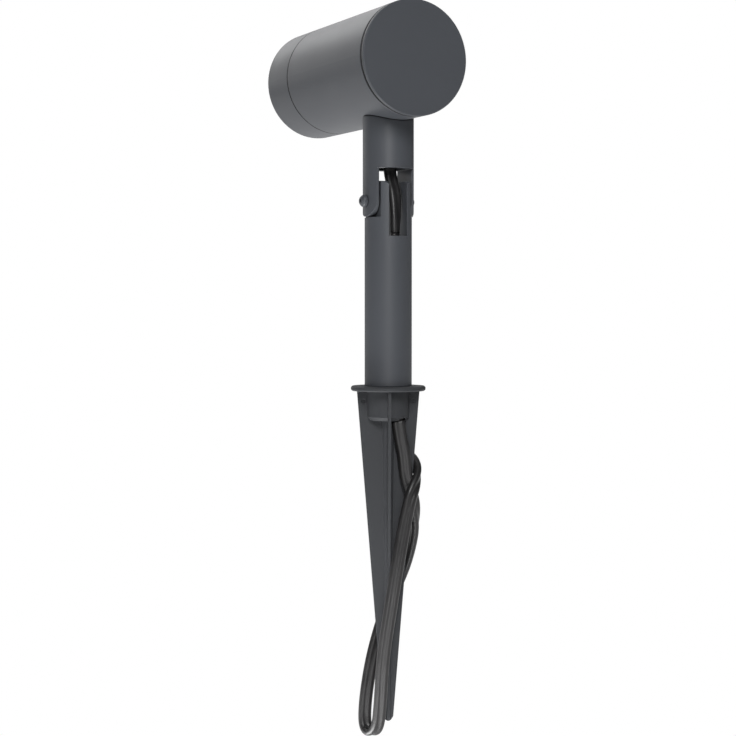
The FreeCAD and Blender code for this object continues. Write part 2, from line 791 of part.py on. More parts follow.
def ground_spike():
    """One moulding: four tapering ribs, flange, cable cup and the spigot for the stem."""
    body = doc.addObject("PartDesign::Body", "ground_spike")
    tip = -s.spikeLength
    blade = [
        (-s.ribHalfWidth, 0),
        (-s.tipHalfWidth, tip + 2.5),
        (-s.tipHalfWidth + 1.2, tip + 0.6),
        (-s.tipHalfWidth + 2.2, tip),
        (s.tipHalfWidth - 2.2, tip),
        (s.tipHalfWidth - 1.2, tip + 0.6),
        (s.tipHalfWidth, tip + 2.5),
        (s.ribHalfWidth, 0),
    ]
    for plane_role, name in (("XZ_Plane", "side_ribs"), ("YZ_Plane", "front_back_ribs")):
        sketch = outline_sketch(body, plane_role, name + "_outline", blade)
        ribs = body.newObject("PartDesign::Pad", name)
        ribs.Profile = sketch
        ribs.SideType = "Symmetric"
        ribs.setExpression("Length", s.ribThickness.text)
    spin(body, "PartDesign::Revolution", "flange_cup_spigot", [
        (0, spigotTop),
        (spigotRadius - 0.8, spigotTop),
        (spigotRadius, spigotTop - 0.8),
        *reversed(seal_groove(spigotRadius, spigotGroove)),
        (spigotRadius, s.flangeThickness),
        (s.flangeRadius - s.flangeEdge, s.flangeThickness),
        (s.flangeRadius, s.flangeThickness - s.flangeEdge),
        (s.flangeRadius, s.flangeEdge),
        (s.flangeRadius - s.flangeEdge, 0),
        (s.cupRadius, 0),
        (s.cupRadius, -s.cupDepth),
        (s.cupRadius - s.cupChamfer, -(s.cupDepth + s.cupChamfer)),
        (s.coreRadius, -(s.cupDepth + s.cupChamfer)),
        (s.coreTipRadius, tip + 10.0),
        (0, tip + 6.0),
    ])
    spin(body, "PartDesign::Groove", "cable_way", [
        (0, spigotTop + 1.0),
        (s.spigotBore, spigotTop + 1.0),
        (s.spigotBore, 1.0),
        (s.cupBore, 1.0),
        (s.cupBore, s.cupFloor - s.cupDepth - s.cupChamfer),
        (0, s.cupFloor - s.cupDepth - s.cupChamfer),
    ])
    return body


def spike_with_outlet():
    """The spike turned on its axis to where it stands, with the cable outlet in the cup's floor."""
    spike = place(ground_spike(), (0, 0, 0), Rotation(Vector(0, 0, 1), -s.spikeTurn.value))
    spike.setExpression(".Placement.Rotation.Angle", (-s.spikeTurn).text)
    spike.Label = "spike_moulding"
    outlet = rod("cable_outlet", s.outletRadius, s.cupFloor * 3,
                 (s.outletX, s.outletY, -(s.cupDepth + s.cupChamfer + s.cupFloor)))
    turn = math.radians(s.spikeTurn.value)
    face = s.ribThickness.value / 2 - s.markDepth.value
    marks = []
    for number, side in enumerate((-1, 1), start=1):
        reach = s.markDistance.value * side
        at = (reach * math.cos(turn) + face * math.sin(turn),
              face * math.cos(turn) - reach * math.sin(turn), s.markHeight.value)
        across = Rotation(Vector(0, 0, 1), Vector(math.sin(turn), math.cos(turn), 0))
        marks.append(rod("mark_%d" % number, s.markRadius, s.markDepth + 0.5, at, across))
    result = cut("spike_with_outlet", spike, outlet, *marks)
    result.Label = "ground_spike"
    return result


def core_ends():
    """The two bare cores past the cut sheath, each with its own sleeve on the end."""
    end = Vector(*FREE_ROUTE[-1])
    way = (end - Vector(*FREE_ROUTE[-2])).normalize()
    across = way.cross(Vector(0, 0, 1)).normalize()
    for name, side in (("core_brown_end", -1), ("core_blue_end", 1)):
        start = end + across * (1.3 * side)
        core = doc.addObject("Part::Feature", name)
        core.Shape = Part.makeCylinder(s.coreWireRadius.value, s.coreEndLength.value, start, way)
        yield core
    sleeves = []
    for number, side in enumerate((-1, 1), start=1):
        start = end + across * (1.3 * side) + way * s.coreEndLength.value
        sleeve = doc.addObject("Part::Feature", "ferrule_%d" % number)
        sleeve.Shape = Part.makeCylinder(s.ferruleRadius.value, s.ferruleLength.value, start, way)
        sleeves.append(sleeve)
    yield group("wire_ferrules", *sleeves)


nodes = [
    head_body(), rear_cover(), seal("rear_cover_seal", plugRadius, coverGroove),
    seal("cowl_seal", threadRadius, cowlGroove), front_cowl(),
    disc("front_glass", cowlBore - s.glassClearance, glassBack, s.glassThickness),
    glass_gasket(), lamp_ring(), lamp_body(),
    disc("lamp_lens", lampRadius - 1.6, s.lampFront - 1.5, 1.2),
    lamp_pins(), lampholder(), lampholder_bracket(), holder_screws(), bracket_screws(),
    terminal_block(), terminal_screws(), supply_core("wire_brown", -1),
    supply_core("wire_blue", 1), lampholder_leads(),
    neck_fork(), neck_gasket(), nipple(), nipple_nut(), nipple_washer(), cable_bush(),
    strain_clip(), rod("cable_in_neck", s.cableRadius, sheathTop - bendTop, (0, 0, bendTop)),
    pivot_screw("pivot_screw_left", 1, s.leftHeadRadius, s.leftHeadHeight),
    pivot_screw("pivot_screw_right", -1, s.rightHeadRadius, s.rightHeadHeight),
    friction_washer("friction_washer_left", 1), friction_washer("friction_washer_right", -1),
    stem_tube(),
    tube("cable_in_clevis", [(0.0, 0.0, bendTop.value)] + from_pivot(CLEVIS_ROUTE), s.cableRadius),
    tube("cable_in_stem", from_pivot(STEM_ROUTE) + [stem_cable_end()], s.cableRadius),
    spike_with_outlet(), seal("spigot_ring", spigotRadius, spigotGroove, along_head=False),
    tube("cable_in_spike", [stem_cable_end()] + SPIKE_ROUTE, s.cableRadius),
    tube("free_cable", FREE_ROUTE, s.cableRadius),
]
nodes += list(core_ends())

doc.recompute()
for thing in doc.Objects:
    if "Invalid" in thing.State or "Error" in thing.State:
        raise SystemExit("%s failed: %s" % (thing.Label, thing.State))
for node in nodes:
    if node.Shape.isNull() or not node.Shape.isValid() or not node.Shape.Solids:
        raise SystemExit("%s has no valid solid" % node.Label)

os.makedirs("parts", exist_ok=True)
for node in nodes:
    node.Shape.exportStep(os.path.join("parts", node.Label + ".step"))
print("wrote %d nodes" % len(nodes))
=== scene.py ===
import bpy
import json
import math
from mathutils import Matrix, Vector


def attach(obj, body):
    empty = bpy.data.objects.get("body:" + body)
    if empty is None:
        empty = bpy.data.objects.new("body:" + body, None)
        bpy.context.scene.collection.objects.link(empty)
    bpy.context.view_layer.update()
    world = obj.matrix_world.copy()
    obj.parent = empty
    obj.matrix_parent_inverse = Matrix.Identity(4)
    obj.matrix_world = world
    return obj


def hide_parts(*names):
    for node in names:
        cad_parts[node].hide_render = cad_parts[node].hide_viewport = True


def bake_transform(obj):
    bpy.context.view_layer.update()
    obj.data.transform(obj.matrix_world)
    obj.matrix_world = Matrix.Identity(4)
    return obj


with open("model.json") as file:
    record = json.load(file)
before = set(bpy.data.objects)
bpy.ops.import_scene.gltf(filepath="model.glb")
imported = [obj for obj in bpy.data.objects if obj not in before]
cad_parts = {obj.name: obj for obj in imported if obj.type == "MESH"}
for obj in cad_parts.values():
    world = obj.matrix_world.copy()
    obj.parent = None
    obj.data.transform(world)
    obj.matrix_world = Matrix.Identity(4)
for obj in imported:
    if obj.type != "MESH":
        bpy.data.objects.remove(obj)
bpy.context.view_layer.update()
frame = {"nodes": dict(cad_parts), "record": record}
cad = frame["nodes"]
print("frame loaded:", len(cad), "pieces")

mm = 0.001


cameraSettings = {
    "azimuth": 152.72,    # degrees, from behind the head and a little to its left
    "distance": 871.8,    # mm from the stem's axis
    "height": 42.4,       # mm above the flange's underside
    "lookDown": 0.0227,   # radians
    "lookLeft": 0.0123,
    "lens": 80.42,        # mm on a 36 mm sensor
    "shift": -0.0272,     # share of the picture's height
}


def makeCamera(settings):
    turn = math.radians(settings["azimuth"])
    back = Vector((math.sin(turn), -math.cos(turn), 0))
    right = Vector((math.cos(turn), math.sin(turn), 0))
    ahead = -back * math.cos(settings["lookLeft"]) - right * math.sin(settings["lookLeft"])
    ahead = ahead * math.cos(settings["lookDown"]) - Vector((0, 0, math.sin(settings["lookDown"])))
    bpy.ops.object.camera_add(location=back * settings["distance"] * mm
                              + Vector((0, 0, settings["height"] * mm)))
    camera = bpy.context.object
    camera.name = "photoCamera"
    camera.rotation_mode = "QUATERNION"
    camera.rotation_quaternion = ahead.to_track_quat("-Z", "Y")
    camera.data.lens = settings["lens"]
    camera.data.sensor_width = 36
    camera.data.shift_y = settings["shift"]
    camera.data.clip_start = 0.01
    bpy.context.scene.camera = camera


makeCamera(cameraSettings)
print("camera placed")


def newFinish(name):
    finish = bpy.data.materials.new(name)
    finish.use_nodes = True
    tree = finish.node_tree
    return finish, tree, tree.nodes["Principled BSDF"]


def addNode(tree, kind, values=None, **settings):
    node = tree.nodes.new(kind)
    for key, value in settings.items():
        setattr(node, key, value)
    for key, value in (values or {}).items():
        node.inputs[key].default_value = value
    return node


def wire(tree, *pairs):
    for start, end in pairs:
        tree.links.new(start, end)


# shows the shade where amount is 0, and the colour where it is 1
def mixColour(tree, amount, shade, colour):
    mixed = addNode(tree, "ShaderNodeMix", {7: (*colour, 1)}, data_type="RGBA")
    wire(tree, (amount, mixed.inputs[0]), (shade, mixed.inputs[6]))
    return mixed.outputs[2]


# lighter colour along sharp edges: partly worn paint, partly a painted highlight where the edges catch
# the light
def wornAndLitEdges(tree, bump, shade, colour, amount, width):
    soft = addNode(tree, "ShaderNodeBevel", {"Radius": width * mm}, samples=6)
    facing = addNode(tree, "ShaderNodeNewGeometry")
    turn = addNode(tree, "ShaderNodeVectorMath", operation="DOT_PRODUCT")
    wearAndHighlight = addNode(tree, "ShaderNodeMapRange",
                   {"From Min": 0.995, "From Max": 0.8, "To Min": 0.0, "To Max": amount})
    wire(tree,
         (soft.outputs["Normal"], bump.inputs["Normal"]),
         (soft.outputs["Normal"], turn.inputs[0]),
         (facing.outputs["Normal"], turn.inputs[1]),
         (turn.outputs["Value"], wearAndHighlight.inputs["Value"]))
    rubbedAndLit = [min(1, c * 2.2 + 0.02) for c in colour]
    return mixColour(tree, wearAndHighlight.outputs["Result"], shade, rubbedAndLit)


# painted shade: a near-black colour in gaps narrower than reach, where ambient occlusion finds the
# surface closed in
def paintedGapShade(tree, shade, amount, reach):
    near = addNode(tree, "ShaderNodeAmbientOcclusion", {"Distance": reach * mm}, samples=8)
    closed = addNode(tree, "ShaderNodeMapRange",
                     {"From Min": 0.6, "From Max": 0.2, "To Min": 0.0, "To Max": amount})
    wire(tree, (near.outputs["AO"], closed.inputs["Value"]))
    return mixColour(tree, closed.outputs["Result"], shade, (0.004, 0.004, 0.004))


# painted shade: a thin dark line round the head at each joint, for the shadow in the gap, given by its
# middle along the head and its width
def paintedJointShade(tree, place, shade, joints):
    split = addNode(tree, "ShaderNodeSeparateXYZ")
    wire(tree, (place.outputs["Object"], split.inputs["Vector"]))
    for middle, width in joints:
        line = addNode(tree, "ShaderNodeMath", {1: middle * mm, 2: width / 2 * mm}, operation="COMPARE")
        share = addNode(tree, "ShaderNodeMath", {1: 0.85}, operation="MULTIPLY")
        wire(tree, (split.outputs["Y"], line.inputs[0]), (line.outputs[0], share.inputs[0]))
        shade = mixColour(tree, share.outputs[0], shade, (0.006, 0.006, 0.006))
    return shade


# shift and patch: how much the tone wanders, and over how many mm; grain and depth: the fine
# bumps' size and height in mm; spread: how much the roughness wanders
def surfaceFinish(name, colour, shift=0.12, roughness=0.45, spread=0.06, grain=0.8, depth=0.02,
                  patch=30, metallic=0.0, specular=0.5, stretch=(1, 1, 1), edge=0.0,
                  edgeWidth=0.4, gapShade=0.0, gapReach=1.6, joints=()):
    finish, tree, shader = newFinish(name)
    shader.inputs["Metallic"].default_value = metallic
    shader.inputs["Specular IOR Level"].default_value = specular
    place = addNode(tree, "ShaderNodeTexCoord")
    mapping = addNode(tree, "ShaderNodeMapping", {"Scale": stretch})
    broad = addNode(tree, "ShaderNodeTexNoise",
                    {"Scale": 1000 / patch, "Detail": 3.0, "Roughness": 0.55})
    fine = addNode(tree, "ShaderNodeTexNoise",
                   {"Scale": 1000 / grain, "Detail": 2.0, "Roughness": 0.5})
    light = [min(1, c * (1 + shift)) for c in colour] + [1]
    dark = [c * (1 - shift) for c in colour] + [1]
    tone = addNode(tree, "ShaderNodeMix", {6: dark, 7: light}, data_type="RGBA")
    speck = addNode(tree, "ShaderNodeMapRange",
                    {"From Min": 0.25, "From Max": 0.75, "To Min": 0.25, "To Max": 0.75})
    both = addNode(tree, "ShaderNodeMath", operation="ADD")
    half = addNode(tree, "ShaderNodeMath", {1: 0.5}, operation="MULTIPLY")
    rough = addNode(tree, "ShaderNodeMapRange",
                    {"From Min": 0.3, "From Max": 0.7,
                     "To Min": roughness - spread, "To Max": roughness + spread})
    bump = addNode(tree, "ShaderNodeBump", {"Strength": 0.6, "Distance": depth * mm})
    wire(tree,
         (place.outputs["Object"], mapping.inputs["Vector"]),
         (mapping.outputs["Vector"], broad.inputs["Vector"]),
         (mapping.outputs["Vector"], fine.inputs["Vector"]),
         (fine.outputs["Fac"], speck.inputs["Value"]),
         (broad.outputs["Fac"], both.inputs[0]),
         (speck.outputs["Result"], both.inputs[1]),
         (both.outputs[0], half.inputs[0]),
         (half.outputs[0], tone.inputs[0]),
         (broad.outputs["Fac"], rough.inputs["Value"]),
         (rough.outputs["Result"], shader.inputs["Roughness"]),
         (fine.outputs["Fac"], bump.inputs["Height"]),
         (bump.outputs["Normal"], shader.inputs["Normal"]))
    shade = tone.outputs[2]
    # lighter edges: worn paint and painted highlight
    if edge:
        shade = wornAndLitEdges(tree, bump, shade, colour, edge, edgeWidth)
    # painted shade in narrow gaps
    if gapShade:
        shade = paintedGapShade(tree, shade, gapShade, gapReach)
    # painted shade lines at the head's joints
    if joints:
        shade = paintedJointShade(tree, place, shade, joints)
    wire(tree, (shade, shader.inputs["Base Color"]))
    return finish


def glassFinish(name, colour, roughness):
    finish, tree, shader = newFinish(name)
    shader.inputs["Base Color"].default_value = (*colour, 1)
    shader.inputs["IOR"].default_value = 1.47
    shader.inputs["Transmission Weight"].default_value = 1.0
    place = addNode(tree, "ShaderNodeTexCoord")
    smear = addNode(tree, "ShaderNodeTexNoise", {"Scale": 60.0, "Detail": 4.0})
    rough = addNode(tree, "ShaderNodeMapRange",
                    {"From Min": 0.4, "From Max": 0.8, "To Min": roughness, "To Max": roughness + 0.05})
    wire(tree,
         (place.outputs["Object"], smear.inputs["Vector"]),
         (smear.outputs["Fac"], rough.inputs["Value"]),
         (rough.outputs["Result"], shader.inputs["Roughness"]))
    return finish


def cableFinish(name, colour):
    finish, tree, shader = newFinish(name)
    shader.inputs["Specular IOR Level"].default_value = 0.45
    place = addNode(tree, "ShaderNodeUVMap", uv_map="alongCable")
    lines = addNode(tree, "ShaderNodeMapping", {"Scale": (30, 60, 1)})
    streak = addNode(tree, "ShaderNodeTexNoise", {"Scale": 1.0, "Detail": 4.0})
    spot = addNode(tree, "ShaderNodeTexCoord")
    dust = addNode(tree, "ShaderNodeTexNoise", {"Scale": 90.0, "Detail": 5.0, "Roughness": 0.6})
    dark = [c * 0.8 for c in colour] + [1]
    light = [c * 1.5 for c in colour] + [1]
    tone = addNode(tree, "ShaderNodeMix", {6: dark, 7: light}, data_type="RGBA")
    rough = addNode(tree, "ShaderNodeMapRange",
                    {"From Min": 0.3, "From Max": 0.7, "To Min": 0.3, "To Max": 0.46})
    bump = addNode(tree, "ShaderNodeBump", {"Strength": 0.5, "Distance": 0.03 * mm})
    wire(tree,
         (place.outputs["UV"], lines.inputs["Vector"]),
         (lines.outputs["Vector"], streak.inputs["Vector"]),
         (spot.outputs["Object"], dust.inputs["Vector"]),
         (dust.outputs["Fac"], tone.inputs[0]),
         (tone.outputs[2], shader.inputs["Base Color"]),
         (dust.outputs["Fac"], rough.inputs["Value"]),
         (rough.outputs["Result"], shader.inputs["Roughness"]),
         (streak.outputs["Fac"], bump.inputs["Height"]),
         (bump.outputs["Normal"], shader.inputs["Normal"]))
    return finish


finishes = {
    # its edges are lighter: worn paint and painted highlight
    "anthracite_coat": surfaceFinish(
        "anthraciteCoat", (0.067, 0.072, 0.082), shift=0.07, roughness=0.46, spread=0.03,
        # painted shade in its narrow gaps
        grain=0.55, depth=0.012, patch=45, specular=0.42, edge=0.28, gapShade=0.95,
        # painted shade lines at the head's joints
        joints=((27.7, 2.0), (-64.2, 1.4))),    # behind the rear cover, and by the cowl
    # its edges are lighter: worn paint and painted highlight
    "spike_plastic": surfaceFinish(
        "spikePlastic", (0.046, 0.048, 0.052), shift=0.1, roughness=0.58, grain=0.7, patch=25,
        specular=0.15, stretch=(1, 1, 0.25), edge=0.3, edgeWidth=0.3),
    "black_rubber": surfaceFinish("sealRubber", (0.012, 0.012, 0.012), roughness=0.6, grain=0.5),
    "fastener_steel": surfaceFinish(
        "zincSteel", (0.5, 0.51, 0.52), roughness=0.32, metallic=1.0, grain=0.3, depth=0.004,
        stretch=(1, 1, 0.2)),
    "zinc_strip": surfaceFinish(
        "zincStrip", (0.55, 0.55, 0.54), roughness=0.38, metallic=1.0, grain=0.4, depth=0.005, patch=8),
    "reflector": surfaceFinish(
        "lampShell", (0.72, 0.73, 0.75), roughness=0.22, metallic=0.9, grain=1.2, depth=0.01),
    "ceramic": surfaceFinish("holderCeramic", (0.72, 0.69, 0.62), roughness=0.6, grain=0.6),
    "brass": surfaceFinish(
        "turnedBrass", (0.72, 0.5, 0.22), roughness=0.3, metallic=1.0, grain=0.4, depth=0.006,
        stretch=(0.2, 0.2, 1)),
    "terminal_plastic": surfaceFinish("terminalPlastic", (0.62, 0.6, 0.55), depth=0.01),
    "silicone": surfaceFinish("silicone", (0.55, 0.53, 0.5), roughness=0.55, grain=0.9, depth=0.01),
    "nylon": surfaceFinish("nylonPart", (0.03, 0.03, 0.03), roughness=0.48, grain=0.7, depth=0.01),
    "core_brown": surfaceFinish("brownCore", (0.12, 0.045, 0.02), roughness=0.35, grain=1.0, depth=0.01),
    "core_blue": surfaceFinish("blueCore", (0.03, 0.1, 0.35), roughness=0.35, grain=1.0, depth=0.01),
    "glass": glassFinish("clearGlass", (0.96, 0.98, 0.98), 0.0),
    "cable": cableFinish("cableRubber", (0.0155, 0.015, 0.0155)),
}

for part in frame["record"]["subparts"]:
    node = cad[part["node"]]
    node.data.materials.clear()
    node.data.materials.append(finishes[part["material_slot"]])
print("finishes made:", len(finishes))


cableShape = {
    "width": 7.0,
    "thickness": 4.0,
    "groove": 0.22,    # depth of the groove between the two cores
    "around": 40,      # corners round the section
    "repeat": 10,      # pattern repeats per metre
}

# each corner of the free cable's route, and the way that its flat side faces there, in mm
freeCableRoute = [
    ((-2.44, 6.56, -15.7), (0.3, 0.95, 0)), ((-3.5, 6.6, -23.0), (0.4, 0.92, 0)),
    ((-5.9, 7.1, -34.0), (0.46, 0.885, 0)), ((-6.9, 7.1, -46.0), (0.46, 0.885, 0)),
    ((-10.7, 9.3, -58.5), (0.0, 1.0, 0)), ((-14.2, 5.0, -71.0), (-0.9, 0.43, 0)),
    ((-13.3, 0.2, -84.0), (-0.95, -0.3, 0)), ((-11.5, -5.0, -97.0), (-0.75, -0.66, 0)),
    ((-7.0, -9.2, -110.0), (-0.6, -0.8, 0)), ((-1.6, -10.7, -125.0), (-0.25, -0.97, 0)),
    ((5.0, -9.6, -144.0), (-0.3, -0.95, 0)), ((9.2, -8.6, -164.5), (-0.4, -0.92, 0)),
    ((10.4, -7.6, -178.8), (-0.2, -0.8, -0.5)), ((9.5, -2.5, -182.3), (0, 0, -1)),
    ((8.0, 3.5, -178.8), (0.25, 0.85, -0.4)), ((7.4, 5.4, -165.5), (0.4, 0.92, 0)),
    ((7.4, 8.0, -141.0), (0.46, 0.885, 0)), ((4.6, 10.9, -116.0), (0.4, 0.92, 0)),
    ((0.9, 12.6, -91.0), (0.46, 0.885, 0)), ((-3.9, 11.9, -69.0), (0.46, 0.885, 0)),
    ((-6.8, 12.4, -56.0), (0.28, 0.96, 0)), ((-9.4, 11.6, -51.0), (-0.1, 0.99, 0)),
    ((-13.3, 8.4, -45.0), (-0.885, 0.465, 0)), ((-14.6, 4.5, -40.0), (-0.99, -0.1, 0)),
    ((-12.5, 0.8, -35.5), (-0.7, -0.7, 0)), ((-10.5, -7.8, -33.5), (-0.6, -0.8, 0)),
    ((-8.4, -15.4, -35.5), (-0.4, -0.6, 0.6)), ((-5.3, -17.6, -44.5), (0.0, -0.95, 0.3)),
    ((-3.1, -16.7, -55.0), (0.1, -0.97, 0)), ((-1.9, -14.8, -66.0), (0.1, -0.97, 0)),
]


def newSpline(name, points, steps):
    curve = bpy.data.curves.new(name, "CURVE")
    curve.dimensions = "3D"
    spline = curve.splines.new("NURBS")
    spline.points.add(len(points) - 1)
    for point, place in zip(spline.points, points):
        point.co = (*place, 1)
    spline.order_u = 3
    spline.use_endpoint_u = True
    spline.resolution_u = steps
    return curve


def splineLine(points, steps):
    curve = newSpline("routeLine", points, steps)
    carrier = bpy.data.objects.new("routeLine", curve)
    mesh = bpy.data.meshes.new_from_object(carrier)
    line = [vertex.co.copy() for vertex in mesh.vertices]
    bpy.data.objects.remove(carrier)
    bpy.data.meshes.remove(mesh)
    bpy.data.curves.remove(curve)
    return line


# two round cores side by side, with a shallow groove between them
def twinSection(settings):
    core = settings["thickness"] / 2
    offset = settings["width"] / 2 - core
    section = []
    for number in range(settings["around"]):
        angle = math.tau * (number + 0.5) / settings["around"]
        across, up = abs(math.cos(angle)), abs(math.sin(angle))
        reach = offset * across + math.sqrt(core ** 2 - (offset * up) ** 2)
        web = (core - settings["groove"]) / up
        if web * across < offset:
            reach = max(reach, web)
        section.append((reach * math.cos(angle) * mm, reach * math.sin(angle) * mm))
    return section


def flatCable(name, route, settings, steps=12):
    line = splineLine([[c * mm for c in place] for place, face in route], steps)
    faces = splineLine([face for place, face in route], steps)
    section = twinSection(settings)
    count = len(section)
    corners, along = [], []
    travelled = 0.0
    for number, point in enumerate(line):
        before, after = line[max(number - 1, 0)], line[min(number + 1, len(line) - 1)]
        way = (after - before).normalized()
        thin = (faces[number] - way * faces[number].dot(way)).normalized()
        wide = thin.cross(way)
        corners += [point + wide * across + thin * up for across, up in section]
        travelled += (point - line[max(number - 1, 0)]).length
        along.append(travelled)
    sides = []
    for ring in range(len(line) - 1):
        for number in range(count):
            following = (number + 1) % count
            sides.append((ring * count + number, (ring + 1) * count + number,
                          (ring + 1) * count + following, ring * count + following))
    sides.append(tuple(range(count)))
    sides.append(tuple(reversed(range((len(line) - 1) * count, len(line) * count))))
    mesh = bpy.data.meshes.new(name)
    mesh.from_pydata(corners, [], sides)
    layer = mesh.uv_layers.new(name="alongCable")
    for face in mesh.polygons:
        isSide = len(face.vertices) == 4
        closes = isSide and max(v % count for v in face.vertices) == count - 1
        face.use_smooth = isSide
        for loop in face.loop_indices:
            ring, number = divmod(mesh.loops[loop].vertex_index, count)
            turn = 1.0 if closes and number == 0 else number / count
            layer.data[loop].uv = (along[ring] * settings["repeat"], turn)
    piece = bpy.data.objects.new(name, mesh)
    bpy.context.scene.collection.objects.link(piece)
    piece.data.materials.append(finishes["cable"])
    return piece, line, travelled


def makeFreeCable():
    piece, line, length = flatCable("freeCable", freeCableRoute, cableShape)
    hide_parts("free_cable")
    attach(piece, "spike")
    print("free cable: %.1f mm long" % (length / mm))
    return piece, line


freeCable, cableLine = makeFreeCable()


# the held stretches, from the head down to the spike's cup, given as the free cable is
heldCables = {
    "neckCable": {
        "node": "cable_in_neck",
        "body": "head",
        "route": [((0, 0, 164), (0, 1, 0)), ((0, 0, 141), (0, 1, 0)), ((-0.8, 0, 118), (0, 1, 0))],
    },
    "stemCable": {
        "node": "cable_in_stem",
        "body": "stem",
        "route": [((-0.9, 6.0, 83), (-0.75, 0.66, 0)), ((0, 6.2, 72), (-0.5, 0.87, 0)),
                  ((0, 0, 52), (0, 1, 0)), ((0, 0, 34), (0, 1, 0))],
    },
    "spikeCable": {
        "node": "cable_in_spike",
        "body": "spike",
        "route": [((0, 0, 34), (0, 1, 0)), ((0, 0, 12), (-0.2, 0.98, 0)),
                  ((-2.44, 6.56, -4), (-0.35, 0.94, 0)), ((-2.44, 6.56, -15.7), (-0.35, 0.94, 0))],
    },
}

# the stretch in the knuckle's slot, where the real cable bends as the head tilts; here it is one fixed
# shape
clevisRoute = [((-0.8, 0, 118), (0, 1, 0)), ((-1.3, 0, 113), (0.1, 1, 0)),
               ((-1.6, 6.2, 101), (-0.2, 0.98, 0)), ((-0.9, 6.0, 83), (-0.75, 0.66, 0))]

for name, settings in heldCables.items():
    piece = flatCable(name, settings["route"], cableShape)[0]
    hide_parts(settings["node"])
    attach(piece, settings["body"])

clevisCable = flatCable("clevisCable", clevisRoute, cableShape, steps=16)[0]
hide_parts("cable_in_clevis")
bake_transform(clevisCable)
print("held cable made")


def selectOnly(piece):
    bpy.ops.object.select_all(action="DESELECT")
    piece.select_set(True)
    bpy.context.view_layer.objects.active = piece


def roundWire(name, points, radius, finish, body, node):
    curve = newSpline(name, [[c * mm for c in place] for place in points], 10)
    curve.bevel_depth = radius * mm
    curve.bevel_resolution = 4
    curve.use_fill_caps = True
    piece = bpy.data.objects.new(name, curve)
    bpy.context.scene.collection.objects.link(piece)
    selectOnly(piece)
    bpy.ops.object.convert(target="MESH")
    piece = bpy.context.object
    piece.data.materials.append(finishes[finish])
    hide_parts(node)
    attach(piece, body)
    return piece


# the bare end of the free cable, in mm
coreEnds = {
    "radius": 1.05,
    "aside": 1.3,                       # from the middle of the cable to a core's middle
    "along": (-1.0, 6.0, 11.0, 16.3),   # the route's points, from the end of the sheath
}

# points for the right-hand wire of each pair, in mm; the other one is its mirror image
supplyCores = {
    "radius": 1.0,
    "points": [(1.2, 0, 163), (1.2, 0, 169), (1.2, 1, 172), (2.6, 6, 172.6), (4, 11, 172),
               (4, 12, 169), (4, 12, 163)],
}
lampLeads = {
    "radius": 1.0,
    "points": [(4, 17, 163), (4, 17, 171), (4, 15, 175), (3.6, 4, 175.6), (3, -8, 175.2),
               (3, -18, 175.4)],
}


def makeCoreEnds(settings):
    way = (cableLine[-1] - cableLine[-3]).normalized()
    across = way.cross(Vector((0, 0, 1))).normalized()
    ends = []
    for name, side, node, finish in (("brownCoreEnd", -1, "core_brown_end", "core_brown"),
                                     ("blueCoreEnd", 1, "core_blue_end", "core_blue")):
        start = cableLine[-1] / mm + across * settings["aside"] * side
        points = [start + way * reach for reach in settings["along"]]
        ends.append(roundWire(name, points, settings["radius"], finish, "spike", node))
    return ends


def mirrored(points, side):
    return [(x * side, y, z) for x, y, z in points]


endPieces = makeCoreEnds(coreEnds)
for name, side, settings, finish, node in (
        ("brownSupplyCore", -1, supplyCores, "core_brown", "wire_brown"),
        ("blueSupplyCore", 1, supplyCores, "core_blue", "wire_blue"),
        ("leftLampLead", 1, lampLeads, "silicone", "lampholder_leads"),
        ("rightLampLead", -1, lampLeads, "silicone", "lampholder_leads")):
    roundWire(name, mirrored(settings["points"], side), settings["radius"], finish, "head", node)
print("wires made")


opticSettings = {
    "front": 74.9,      # mm along the head, where the lens plate ends
    "axis": 172,        # mm above the flange's underside
    "ringRadius": 13.5,
    "domeRadius": 6.2,
    "domeHeight": 1.7,
    "count": 6,         # domes in the ring, round a middle one
}


def settle(piece):
    selectOnly(piece)
    bpy.ops.object.transform_apply(location=True, rotation=True, scale=True)
    bpy.ops.object.mode_set(mode="EDIT")
    bpy.ops.mesh.select_all(action="SELECT")
    bpy.ops.mesh.remove_doubles(threshold=0.000002)
    bpy.ops.mesh.normals_make_consistent(inside=False)
    bpy.ops.mesh.select_all(action="DESELECT")
    bpy.ops.object.mode_set(mode="OBJECT")


def lensDome(settings, across, up):
    bpy.ops.object.select_all(action="DESELECT")
    bpy.ops.mesh.primitive_uv_sphere_add(
        segments=32, ring_count=16, radius=settings["domeRadius"] * mm,
        location=(across * mm, -settings["front"] * mm, (settings["axis"] + up) * mm))
    dome = bpy.context.object
    dome.scale = (1, settings["domeHeight"] / settings["domeRadius"], 1)
    bpy.ops.object.transform_apply(location=True, rotation=True, scale=True)
    bpy.ops.object.mode_set(mode="EDIT")
    bpy.ops.mesh.select_all(action="SELECT")
    bpy.ops.mesh.bisect(plane_co=(0, -settings["front"] * mm, 0), plane_no=(0, 1, 0),
                        use_fill=True, clear_outer=True)
    bpy.ops.object.mode_set(mode="OBJECT")
    return dome


def lampOptic(settings):
    domes = [lensDome(settings, 0, 0)]
    for number in range(settings["count"]):
        angle = math.tau * number / settings["count"]
        domes.append(lensDome(settings, settings["ringRadius"] * math.cos(angle),
                              settings["ringRadius"] * math.sin(angle)))
    selectOnly(domes[0])
    for dome in domes:
        dome.select_set(True)
    bpy.ops.object.join()
    optic = bpy.context.object
    optic.name = "lampOptic"
    settle(optic)
    bpy.ops.object.shade_smooth_by_angle(angle=math.radians(40))
    optic.data.materials.clear()
    optic.data.materials.append(finishes["glass"])
    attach(optic, "head")


lampOptic(opticSettings)
print("lamp front made")


stageSettings = {
    "floorHeight": -0.30,    # m
    "floorSize": 12,
    "floorTone": 0.6,        # as the object's light finds it; the camera sees white
    "skyStrength": 0.08,
}


